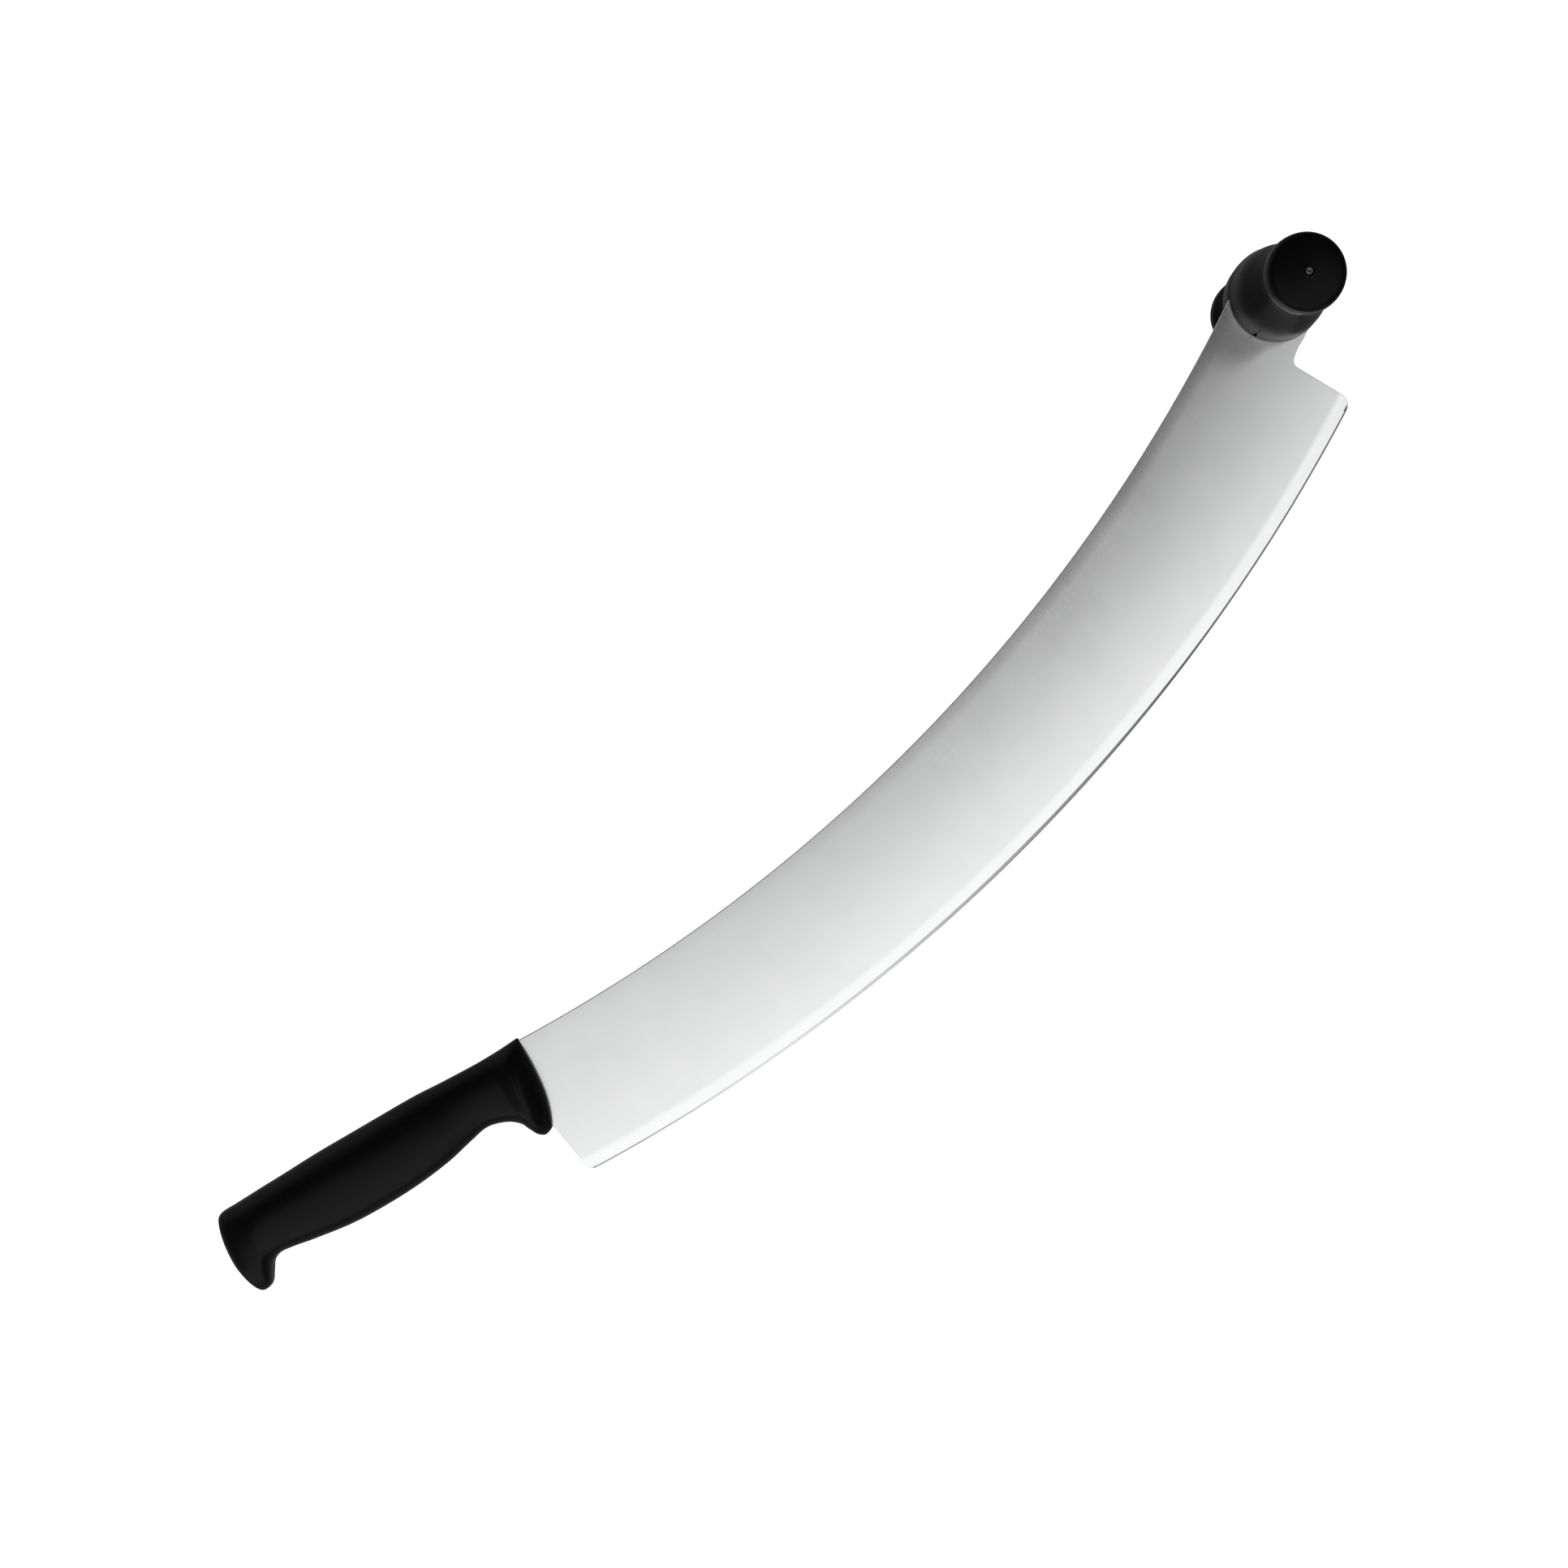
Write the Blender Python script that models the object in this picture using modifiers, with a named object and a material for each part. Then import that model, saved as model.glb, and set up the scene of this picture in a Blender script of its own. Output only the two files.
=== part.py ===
# Curved two-handled cheese knife.
#
# A long steel blade, curved in its own plane, with a straight handle moulded
# over its tang at one end and a cross-grip clamped across its tip end.  Both
# hands press down: one on the handle, one on the cross-grip.
#
# Blade frame, in which every piece is drawn:
#   X  along the blade, from the handle to the cross-grip
#   Y  in the blade's plane, from the cutting edge (convex) to the spine (concave)
#   Z  square to the blade, Z = 0 in the middle of its thickness
# The empty "knife" then lays the whole knife on a table (world Z = 0), where it
# rests on the far knob and on the heel end of the cutting edge.

import math

import bmesh
import bpy
from mathutils import Vector

for old in list(bpy.data.objects):
    bpy.data.objects.remove(old, do_unlink=True)

MM = 0.001
GAP = 0.3                      # air between neighbouring pieces

# ---------------------------------------------------------------- blade (mm)
BLADE_T = 2.4                  # sheet thickness
SPINE_C, SPINE_R = (44.9, 657.0), 682.7
EDGE_C, EDGE_R = (49.7, 650.7), 738.9
EDGE_STEP = math.radians(0.5625)   # angle of one facet of the long arcs
HEEL_TOP = (-164.8, -32.5)     # where the heel leaves the handle
HEEL_LOW = (-167.3, -55.6)     # square corner of heel and cutting edge
HEEL_R = 3.4
TIP_LOW = (274.1, -53.3)       # square corner of cutting edge and tip end
TIP_R = 5.0
STEP_IN = (266.9, -25.3)       # inner corner where the neck begins
STEP_R = 3.2
NECK_MID = (273.4, -22.35)
NECK_NEXT = (277.6, -21.4)
NECK_END = (281.3, -20.0)      # under the edge of the cross-grip's flange
STUB_LOW = (285.8, -15.7)
STUB_HIGH = (273.4, 13.5)
GRIP_C = (281.8, -0.6)       # axis of the cross-grip
STUB_R = 16.0                  # round end of the blade inside the cross-grip
RIVET_HOLE_R = 1.5

# Grind: depth below the flat against distance from the cutting edge.
GRIND = ((5.3, 0.0), (2.6, 0.36), (0.8, 0.82), (0.0, 1.08))

# --------------------------------------------------------------- handle (mm)
# The handle's own frame starts at its front top corner; +X points to the blade.
HANDLE_AT = (-149.8, 3.74)
HANDLE_ANGLE = math.radians(-14.65)
TANG_TOP = ((-2.6, -7.0), (-113.0, -7.4))
TANG_LOW = ((-7.9, -22.0), (-113.0, -19.4))
TANG_HOLES = ((-42.0, -13.9), (-86.0, -13.4))
TANG_HOLE_R = 3.2

# One row per station of the handle, front to butt:
# top x, top y, bottom x, bottom y, half width, forward bulge of the section
STATIONS = (
    (0.2, -0.3, -5.1, -37.5, 3.2, 2.3),
    (-0.2, 0.0, -6.1, -38.7, 5.8, 1.9),
    (-1.2, 0.0, -7.8, -39.5, 7.9, 1.3),
    (-2.8, -0.1, -9.9, -39.8, 9.6, 0.5),
    (-5.6, -0.3, -12.2, -38.1, 11.0, 0.0),
    (-9.4, -0.5, -14.1, -34.6, 10.5, 0.0),
    (-14.0, -0.6, -15.9, -31.1, 9.5, 0.0),
    (-20.5, -0.6, -20.4, -27.5, 9.1, 0.0),
    (-28.3, -0.3, -28.3, -25.2, 9.1, 0.0),
    (-37.0, 0.1, -37.0, -26.7, 9.6, 0.0),
    (-48.5, 0.8, -48.5, -29.3, 10.6, 0.0),
    (-63.0, 0.9, -63.0, -31.1, 11.5, 0.0),
    (-78.0, 0.9, -78.0, -31.7, 12.0, 0.0),
    (-94.0, 0.9, -94.4, -31.2, 11.9, 0.0),
    (-110.0, 0.4, -110.4, -28.9, 11.5, 0.0),
    (-119.5, 0.2, -120.0, -27.1, 11.2, 0.0),
    (-125.5, 0.0, -126.1, -26.5, 11.0, 0.0),
    (-129.5, -0.1, -130.5, -28.4, 10.8, 0.0),
    (-133.2, -0.2, -133.5, -32.6, 10.5, 0.0),
    (-136.7, -0.2, -135.8, -35.8, 10.0, -0.4),
    (-139.1, -0.5, -139.5, -36.5, 9.0, -1.0),
    (-140.9, -1.5, -141.3, -35.0, 7.4, -1.8),
    (-142.0, -3.4, -142.1, -32.3, 4.6, -2.3),
)
SECTION_POINTS = 36
SECTION_STEPS = 2              # sections from one station to the next
TOP_POWER, LOW_POWER = 2.35, 2.5
WIDEST = 0.6                   # where a section is widest, as a share of its height from the top

# ----------------------------------------------------------- cross-grip (mm)
GRIP_HALF = 57.2               # blade middle to the middle of the slightly domed end face
GRIP_TURN_STEPS = 48
# Radius against height above the blade's middle, from the end face down.
GRIP_PROFILE = (
    (5.0, 57.05), (9.0, 56.65), (12.3, 56.1), (13.9, 55.65), (14.8, 55.0), (15.35, 54.0),
    (15.65, 52.4), (15.8, 50.5), (15.8, 48.7), (15.5, 46.9), (14.7, 45.2),
    (13.6, 43.4), (12.7, 41.4), (12.2, 39.4), (12.05, 37.6), (12.2, 35.6),
    (12.65, 33.2), (13.35, 30.6), (14.25, 27.8), (15.45, 24.2), (16.8, 20.4), (17.9, 16.6),
    (18.5, 12.8), (18.8, 8.8), (19.0, 5.4), (19.2, 3.4),
)
FLANGE_R = 19.35
RIVET_R = 1.2
RIVET_HEAD_R = 1.6
BORE_R = RIVET_R + GAP
SINK_R = RIVET_HEAD_R + GAP

# -------------------------------------------------------- lying on a table
LIE_ROTATION = (18.336, -5.076, 0.0)       # degrees, about X, then Y, then Z
LIE_AT = (-2.73, 23.47, 32.41)             # mm


# ------------------------------------------------------------------ helpers
def collection(name):
    found = bpy.data.collections.new(name)
    bpy.context.scene.collection.children.link(found)
    return found


PARTS = collection("curved_cheese_knife")
CUTTERS = collection("cutters")

knife = bpy.data.objects.new("knife", None)
PARTS.objects.link(knife)
knife.rotation_euler = [math.radians(a) for a in LIE_ROTATION]
knife.location = [a * MM for a in LIE_AT]


def material(name, colour, roughness, metallic=0.0):
    mat = bpy.data.materials.new(name)
    mat.use_nodes = True
    shader = mat.node_tree.nodes["Principled BSDF"]
    shader.inputs["Base Color"].default_value = (*colour, 1.0)
    shader.inputs["Roughness"].default_value = roughness
    shader.inputs["Metallic"].default_value = metallic
    return mat


def place(obj, parent, at=(0.0, 0.0, 0.0), turn=0.0, cutter=False):
    """Hang obj on its parent at a place (mm) in the parent's frame, turned about Z."""
    (CUTTERS if cutter else PARTS).objects.link(obj)
    obj.parent = parent
    obj.location = [a * MM for a in at]
    obj.rotation_euler = (0.0, 0.0, turn)
    if cutter:
        obj.hide_render = True
        obj.display_type = "WIRE"
    return obj


def subtract(obj, cutter):
    mod = obj.modifiers.new("cut_" + cutter.name, "BOOLEAN")
    mod.operation = "DIFFERENCE"
    mod.object = cutter
    return mod


def arc(centre, radius, start, end, step):
    """Points on an arc at whole multiples of step, between the two angles."""
    turn = 1 if end > start else -1
    first = math.ceil(start / step * turn) * turn
    points = []
    k = first
    while (end - k * step) * turn >= 0:
        points.append((centre[0] + radius * math.cos(k * step),
                       centre[1] + radius * math.sin(k * step)))
        k += turn
    return points


def angle_of(centre, point):
    return math.atan2(point[1] - centre[1], point[0] - centre[0])


def rounded(before, corner, after, radius, pieces=5):
    """The corner between two straight runs, as an arc of that radius."""
    p, a, b = Vector(corner), Vector(before), Vector(after)
    u, v = (a - p).normalized(), (b - p).normalized()
    half = math.acos(max(-1.0, min(1.0, u.dot(v)))) / 2
    middle = p + (u + v).normalized() * (radius / math.sin(half))
    reach = radius / math.tan(half)
    s, e = p + u * reach - middle, p + v * reach - middle
    turn = math.atan2(s.x * e.y - s.y * e.x, s.dot(e))
    found = []
    for i in range(pieces + 1):
        t = turn * i / pieces
        found.append((middle.x + s.x * math.cos(t) - s.y * math.sin(t),
                      middle.y + s.x * math.sin(t) + s.y * math.cos(t)))
    return found


def from_handle(point):
    """A point of the handle's frame, in the blade frame."""
    c, s = math.cos(HANDLE_ANGLE), math.sin(HANDLE_ANGLE)
    return (HANDLE_AT[0] + c * point[0] - s * point[1],
            HANDLE_AT[1] + s * point[0] + c * point[1])


def on_spine(x):
    return (x, SPINE_C[1] - math.sqrt(SPINE_R ** 2 - (x - SPINE_C[0]) ** 2))


def blade_outline():
    """The blade with its tang and its stub, once round with the steel on the left."""
    top = [from_handle(p) for p in TANG_TOP]
    low = [from_handle(p) for p in TANG_LOW]
    path = []
    # tang: back end, lower side, then the heel
    path += rounded(top[0], top[1], low[1], 4.0)
    path += rounded(top[1], low[1], low[0], 4.0)
    path += rounded(low[1], low[0], HEEL_TOP, 3.0)
    edge_at = angle_of(EDGE_C, HEEL_LOW)
    along = (EDGE_C[0] + EDGE_R * math.cos(edge_at + 0.02),
             EDGE_C[1] + EDGE_R * math.sin(edge_at + 0.02))
    path += rounded(HEEL_TOP, HEEL_LOW, along, HEEL_R)
    # cutting edge
    tip_at = angle_of(EDGE_C, TIP_LOW)
    path += arc(EDGE_C, EDGE_R, edge_at + 6.0 / EDGE_R, tip_at - 6.0 / EDGE_R, EDGE_STEP)
    along = (EDGE_C[0] + EDGE_R * math.cos(tip_at - 0.02),
             EDGE_C[1] + EDGE_R * math.sin(tip_at - 0.02))
    path += rounded(along, TIP_LOW, STEP_IN, TIP_R)
    # step up to the neck, and the round stub inside the cross-grip
    path += rounded(TIP_LOW, STEP_IN, NECK_MID, STEP_R)
    path += [NECK_MID, NECK_NEXT, NECK_END]
    path += arc(GRIP_C, STUB_R, angle_of(GRIP_C, STUB_LOW),
                angle_of(GRIP_C, STUB_HIGH), math.radians(10.0))
    # spine, back to the handle
    spine_end = angle_of(SPINE_C, on_spine(272.5))
    shoulder = on_spine(-152.3)
    path += arc(SPINE_C, SPINE_R, spine_end, angle_of(SPINE_C, shoulder) + 1.0 / SPINE_R,
                EDGE_STEP)
    path += [shoulder]
    path += rounded(shoulder, top[0], top[1], 3.0)
    return path


def grow(path, distance):
    """The outline moved outwards by a distance, corner by corner."""
    found = []
    for i, p in enumerate(path):
        a, b = Vector(path[i - 1]), Vector(path[(i + 1) % len(path)])
        p = Vector(p)
        u, v = (p - a).normalized(), (b - p).normalized()
        m, n = Vector((u.y, -u.x)), Vector((v.y, -v.x))
        found.append(tuple(p + (m + n) * (distance / (1.0 + m.dot(n)))))
    return found


def circle(centre, radius, pieces):
    return [(centre[0] + radius * math.cos(2 * math.pi * i / pieces),
             centre[1] + radius * math.sin(2 * math.pi * i / pieces))
            for i in range(pieces)]


def plate(name, outlines, half_thickness):
    """A flat outline with its holes, as thick as said, as a welded mesh object."""
    curve = bpy.data.curves.new(name + "_outline", "CURVE")
    curve.dimensions = "2D"
    curve.fill_mode = "BOTH"
    curve.extrude = half_thickness * MM
    for points in outlines:
        spline = curve.splines.new("POLY")
        spline.points.add(len(points) - 1)
        for knot, p in zip(spline.points, points):
            knot.co = (p[0] * MM, p[1] * MM, 0.0, 1.0)
        spline.use_cyclic_u = True
    drawn = bpy.data.objects.new(name + "_outline", curve)
    bpy.context.scene.collection.objects.link(drawn)
    bpy.context.view_layer.update()
    graph = bpy.context.evaluated_depsgraph_get()
    mesh = bpy.data.meshes.new_from_object(drawn.evaluated_get(graph))
    bpy.data.objects.remove(drawn, do_unlink=True)
    bm = bmesh.new()
    bm.from_mesh(mesh)
    bmesh.ops.remove_doubles(bm, verts=bm.verts, dist=1e-6)
    bmesh.ops.recalc_face_normals(bm, faces=bm.faces)
    bm.to_mesh(mesh)
    bm.free()
    mesh.name = name
    return bpy.data.objects.new(name, mesh)


def turned(name, profile, steps, closed):
    """A body turned about Z from (radius, height) points in mm, outer side downwards."""
    mesh = bpy.data.meshes.new(name)
    count = len(profile)
    edges = [(i, i + 1) for i in range(count - 1)] + ([(count - 1, 0)] if closed else [])
    mesh.from_pydata([(r * MM, 0.0, z * MM) for r, z in profile], edges, [])
    obj = bpy.data.objects.new(name, mesh)
    mod = obj.modifiers.new("turn", "SCREW")
    mod.axis = "Z"
    mod.angle = 2 * math.pi
    mod.steps = steps
    mod.render_steps = steps
    mod.use_merge_vertices = True
    mod.merge_threshold = 0.000001
    mod.use_smooth_shade = True
    return obj


def smooth(obj, degrees=35.0):
    obj.data.shade_smooth()
    obj.data.set_sharp_from_angle(angle=math.radians(degrees))


# ---------------------------------------------------------------- materials
steel = material("ground_steel", (0.60, 0.61, 0.61), 0.30, 1.0)
rivet_steel = material("rivet_steel", (0.18, 0.18, 0.17), 0.42, 1.0)
handle_black = material("moulded_black", (0.013, 0.013, 0.014), 0.46)
grip_near_black = material("grip_black_near", (0.014, 0.013, 0.013), 0.44)
grip_far_black = material("grip_black_far", (0.014, 0.013, 0.013), 0.44)

# -------------------------------------------------------------------- blade
outline = blade_outline()
tang_holes = [circle(from_handle(p), TANG_HOLE_R, 20) for p in TANG_HOLES]
rivet_hole = circle(GRIP_C, RIVET_HOLE_R, 16)
blade = plate("blade", [outline] + tang_holes + [rivet_hole], BLADE_T / 2)
blade.data.materials.append(steel)
place(blade, knife)

# The grind on each side is turned about the centre of the cutting edge's arc,
# half a facet out of step with the outline.
for side, name in ((1, "grind_near"), (-1, "grind_far")):
    face = BLADE_T / 2
    slope = (GRIND[1][1] - GRIND[0][1]) / (GRIND[0][0] - GRIND[1][0])
    run = [(EDGE_R - GRIND[0][0] - 1.0, face + slope * 1.0)]
    run += [(EDGE_R - d, face - h) for d, h in GRIND]
    last = (GRIND[3][1] - GRIND[2][1]) / (GRIND[2][0] - GRIND[3][0])
    run += [(EDGE_R + 0.35, face - GRIND[3][1] - last * 0.35)]
    ring = [(EDGE_R + 0.35, face + 3.0)] + list(reversed(run)) + [(EDGE_R - GRIND[0][0] - 1.0, face + 3.0)]
    if side < 0:
        ring = [(r, -z) for r, z in reversed(ring)]
    grinder = turned(name, ring, round(2 * math.pi / EDGE_STEP), True)
    place(grinder, knife, (*EDGE_C, 0.0), EDGE_STEP / 2, cutter=True)
    subtract(blade, grinder)

# ------------------------------------------------- room for the blade (cutter)
room_outline = grow(outline, GAP)
pins = [circle(from_handle(p), TANG_HOLE_R - GAP, 20) for p in TANG_HOLES]
room = plate("blade_room", [room_outline] + pins, BLADE_T / 2 + GAP)
place(room, knife, cutter=True)


# ------------------------------------------------------------------- handle
def through(stations, steps):
    """Smooth rows between the stations (Catmull-Rom), so the sides have no kinks."""
    rows = []
    last = len(stations) - 1
    for i in range(last):
        p0, p1 = stations[max(i - 1, 0)], stations[i]
        p2, p3 = stations[i + 1], stations[min(i + 2, last)]
        for k in range(steps):
            t = k / steps
            rows.append([0.5 * (2 * b + (c - a) * t + (2 * a - 5 * b + 4 * c - d) * t * t
                                + (3 * b - a - 3 * c + d) * t ** 3)
                         for a, b, c, d in zip(p0, p1, p2, p3)])
    rows.append(list(stations[-1]))
    return rows


def section(row, points):
    """One section of the handle: egg shaped, widest below its middle."""
    tx, ty, bx, by, half, bulge = row
    up = Vector((tx - bx, ty - by))
    middle = Vector((tx, ty)) - up * WIDEST
    forward = Vector((up.y, -up.x)).normalized()
    found = []
    for k in range(points):
        a = 2 * math.pi * (k + 0.5) / points
        c, s = math.cos(a), math.sin(a)
        power = 2.0 / (TOP_POWER if c > 0 else LOW_POWER)
        h = math.copysign(abs(c) ** power, c)
        w = math.copysign(abs(s) ** power, s) * half
        reach = WIDEST if h > 0 else 1.0 - WIDEST
        p = middle + up * (h * reach) + forward * (bulge * (1.0 - h * h))
        found.append((p.x, p.y, w))
    return found


def loft(name, rows, points):
    """Skin the sections, and close each end across its two sides."""
    bm = bmesh.new()
    rings = [[bm.verts.new([c * MM for c in p]) for p in section(r, points)] for r in rows]
    for a, b in zip(rings, rings[1:]):
        for k in range(points):
            n = (k + 1) % points
            bm.faces.new((a[k], a[n], b[n], b[k]))
    for ring in (rings[0], rings[-1]):
        for k in range(points // 2 - 1):
            bm.faces.new((ring[k], ring[k + 1], ring[points - 2 - k], ring[points - 1 - k]))
    bmesh.ops.recalc_face_normals(bm, faces=bm.faces)
    mesh = bpy.data.meshes.new(name)
    bm.to_mesh(mesh)
    bm.free()
    return bpy.data.objects.new(name, mesh)


rear_handle = loft("rear_handle", through(STATIONS, SECTION_STEPS), SECTION_POINTS)
rear_handle.data.materials.append(handle_black)
place(rear_handle, knife, (*HANDLE_AT, 0.0), HANDLE_ANGLE)
smooth(rear_handle, 40.0)
subtract(rear_handle, room)

# --------------------------------------------------------------- cross-grip
# Near half: closes on the blade's near face and on the far half's rim.
near_low = BLADE_T / 2 + GAP
near_profile = [(SINK_R, GRIP_HALF)] + list(GRIP_PROFILE) + [
    (FLANGE_R, near_low + 0.6), (FLANGE_R - 0.6, near_low),
    (BORE_R, near_low), (BORE_R, GRIP_HALF - 0.6)]
grip_near_half = turned("grip_near_half", near_profile, GRIP_TURN_STEPS, True)
grip_near_half.data.materials.append(grip_near_black)
place(grip_near_half, knife, (*GRIP_C, 0.0))

# Far half: its rim stands as high as the blade's near face, so the stub sits in
# a pocket that keeps it from turning.
far_high = BLADE_T / 2
far_profile = [(BORE_R, far_high), (FLANGE_R, far_high)]
far_profile += [(r, -z) for r, z in reversed(GRIP_PROFILE)]
far_profile += [(SINK_R, -GRIP_HALF), (BORE_R, -GRIP_HALF + 0.6)]
grip_far_half = turned("grip_far_half", far_profile, GRIP_TURN_STEPS, True)
grip_far_half.data.materials.append(grip_far_black)
place(grip_far_half, knife, (*GRIP_C, 0.0))
subtract(grip_far_half, room)

# Rivet: one rod through both halves and the stub, its ends spread into the
# countersinks and dimpled by the riveting tool.
top = GRIP_HALF - 0.2
rivet_profile = [(0.0, top - 0.35), (0.45, top - 0.3), (0.65, top), (RIVET_HEAD_R - 0.1, top),
                 (RIVET_HEAD_R, top - 0.12), (RIVET_R, top - 0.75)]
rivet_profile += [(r, -z) for r, z in reversed(rivet_profile)]
grip_rivet = turned("grip_rivet", rivet_profile, 20, False)
grip_rivet.data.materials.append(rivet_steel)
place(grip_rivet, knife, (*GRIP_C, 0.0))
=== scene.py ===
# Looks of the curved two-handled cheese knife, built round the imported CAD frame.
#
# Every piece is drawn in the blade frame, in mm, as in the CAD:
#   X  along the blade, from the handle to the cross-grip
#   Y  in the blade's plane, from the cutting edge to the spine
#   Z  square to the blade, Z = 0 in the middle of its thickness
# and laid on the table by the same turn and shift as the CAD's (LIE).

import math

import bmesh
import bpy
from mathutils import Euler, Matrix, Vector
from mathutils.geometry import delaunay_2d_cdt


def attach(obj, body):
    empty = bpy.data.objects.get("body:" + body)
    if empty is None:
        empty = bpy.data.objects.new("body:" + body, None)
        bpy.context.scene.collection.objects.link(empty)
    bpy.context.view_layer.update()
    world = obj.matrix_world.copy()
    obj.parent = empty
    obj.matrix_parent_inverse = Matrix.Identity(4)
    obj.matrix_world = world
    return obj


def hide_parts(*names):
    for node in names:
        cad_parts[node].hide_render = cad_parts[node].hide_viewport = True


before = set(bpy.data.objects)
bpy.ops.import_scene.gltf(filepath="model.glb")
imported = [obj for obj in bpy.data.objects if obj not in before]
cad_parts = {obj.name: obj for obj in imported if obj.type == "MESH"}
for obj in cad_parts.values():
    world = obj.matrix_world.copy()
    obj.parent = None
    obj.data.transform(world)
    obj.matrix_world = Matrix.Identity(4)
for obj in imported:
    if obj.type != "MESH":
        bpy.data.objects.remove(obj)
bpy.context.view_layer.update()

MM = 0.001
LIE = (Matrix.Translation(Vector((-2.73, 23.47, 32.41)) * MM)
       @ Euler([math.radians(a) for a in (18.336, -5.076, 0.0)]).to_matrix().to_4x4())

# ------------------------------------------------------ sizes, as in the CAD
BLADE_T = 2.4
SPINE_C, SPINE_R = (44.9, 657.0), 682.7
EDGE_C, EDGE_R = (49.7, 650.7), 738.9
HEEL_TOP = (-164.8, -32.5)
HEEL_LOW = (-167.3, -55.6)
HEEL_R = 3.4
TIP_LOW = (274.1, -53.3)
TIP_R = 5.0
STEP_IN = (266.9, -25.3)
STEP_R = 3.2
NECK_MID = (273.4, -22.35)
NECK_NEXT = (277.6, -21.4)
NECK_END = (281.3, -20.0)
STUB_LOW = (285.8, -15.7)
STUB_HIGH = (273.4, 13.5)
GRIP_C = (281.8, -0.6)
STUB_R = 16.0
RIVET_HOLE_R = 1.5

HANDLE_AT = (-149.8, 3.74)
HANDLE_ANGLE = math.radians(-14.65)
TANG_TOP = ((-2.6, -7.0), (-113.0, -7.4))
TANG_LOW = ((-7.9, -22.0), (-113.0, -19.4))
TANG_HOLES = ((-42.0, -13.9), (-86.0, -13.4))
TANG_HOLE_R = 3.2

STATIONS = (
    (0.2, -0.3, -5.1, -37.5, 3.2, 2.3),
    (-0.2, 0.0, -6.1, -38.7, 5.8, 1.9),
    (-1.2, 0.0, -7.8, -39.5, 7.9, 1.3),
    (-2.8, -0.1, -9.9, -39.8, 9.6, 0.5),
    (-5.6, -0.3, -12.2, -38.1, 11.0, 0.0),
    (-9.4, -0.5, -14.1, -34.6, 10.5, 0.0),
    (-14.0, -0.6, -15.9, -31.1, 9.5, 0.0),
    (-20.5, -0.6, -20.4, -27.5, 9.1, 0.0),
    (-28.3, -0.3, -28.3, -25.2, 9.1, 0.0),
    (-37.0, 0.1, -37.0, -26.7, 9.6, 0.0),
    (-48.5, 0.8, -48.5, -29.3, 10.6, 0.0),
    (-63.0, 0.9, -63.0, -31.1, 11.5, 0.0),
    (-78.0, 0.9, -78.0, -31.7, 12.0, 0.0),
    (-94.0, 0.9, -94.4, -31.2, 11.9, 0.0),
    (-110.0, 0.4, -110.4, -28.9, 11.5, 0.0),
    (-119.5, 0.2, -120.0, -27.1, 11.2, 0.0),
    (-125.5, 0.0, -126.1, -26.5, 11.0, 0.0),
    (-129.5, -0.1, -130.5, -28.4, 10.8, 0.0),
    (-133.2, -0.2, -133.5, -32.6, 10.5, 0.0),
    (-136.7, -0.2, -135.8, -35.8, 10.0, -0.4),
    (-139.1, -0.5, -139.5, -36.5, 9.0, -1.0),
    (-140.9, -1.5, -141.3, -35.0, 7.4, -1.8),
    (-142.0, -3.4, -142.1, -32.3, 4.6, -2.3),
)
TOP_POWER, LOW_POWER = 2.35, 2.5
WIDEST = 0.6

GRIP_HALF = 57.2
GRIP_PROFILE = (
    (5.0, 57.05), (9.0, 56.65), (12.3, 56.1), (13.9, 55.65), (14.8, 55.0), (15.35, 54.0),
    (15.65, 52.4), (15.8, 50.5), (15.8, 48.7), (15.5, 46.9), (14.7, 45.2),
    (13.6, 43.4), (12.7, 41.4), (12.2, 39.4), (12.05, 37.6), (12.2, 35.6),
    (12.65, 33.2), (13.35, 30.6), (14.25, 27.8), (15.45, 24.2), (16.8, 20.4), (17.9, 16.6),
    (18.5, 12.8), (18.8, 8.8), (19.0, 5.4), (19.2, 3.4),
)
FLANGE_R = 19.35
RIVET_R = 1.2
RIVET_HEAD_R = 1.6
SINK_R = 1.9

TIGHT = 0.08                   # visible joints are drawn tighter than the CAD's 0.3


# ------------------------------------------------------------------- drawing
def arc(centre, radius, start, end, step):
    turn = 1 if end > start else -1
    k = math.ceil(start / step * turn) * turn
    points = []
    while (end - k * step) * turn >= 0:
        points.append((centre[0] + radius * math.cos(k * step),
                       centre[1] + radius * math.sin(k * step)))
        k += turn
    return points


def angle_of(centre, point):
    return math.atan2(point[1] - centre[1], point[0] - centre[0])


def rounded(before, corner, after, radius, pieces=14):
    p, a, b = Vector(corner), Vector(before), Vector(after)
    u, v = (a - p).normalized(), (b - p).normalized()
    half = math.acos(max(-1.0, min(1.0, u.dot(v)))) / 2
    middle = p + (u + v).normalized() * (radius / math.sin(half))
    reach = radius / math.tan(half)
    s, e = p + u * reach - middle, p + v * reach - middle
    turn = math.atan2(s.x * e.y - s.y * e.x, s.dot(e))
    found = []
    for i in range(pieces + 1):
        t = turn * i / pieces
        found.append((middle.x + s.x * math.cos(t) - s.y * math.sin(t),
                      middle.y + s.x * math.sin(t) + s.y * math.cos(t)))
    return found


def from_handle(point):
    c, s = math.cos(HANDLE_ANGLE), math.sin(HANDLE_ANGLE)
    return (HANDLE_AT[0] + c * point[0] - s * point[1],
            HANDLE_AT[1] + s * point[0] + c * point[1])


def on_spine(x):
    return (x, SPINE_C[1] - math.sqrt(SPINE_R ** 2 - (x - SPINE_C[0]) ** 2))


def in_steps(points, step):
    """Extra points on the long straight runs of an open path."""
    found = [points[0]]
    for a, b in zip(points, points[1:]):
        n = max(1, math.ceil(math.dist(a, b) / step))
        found += [(a[0] + (b[0] - a[0]) * k / n, a[1] + (b[1] - a[1]) * k / n)
                  for k in range(1, n + 1)]
    return found


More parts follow.
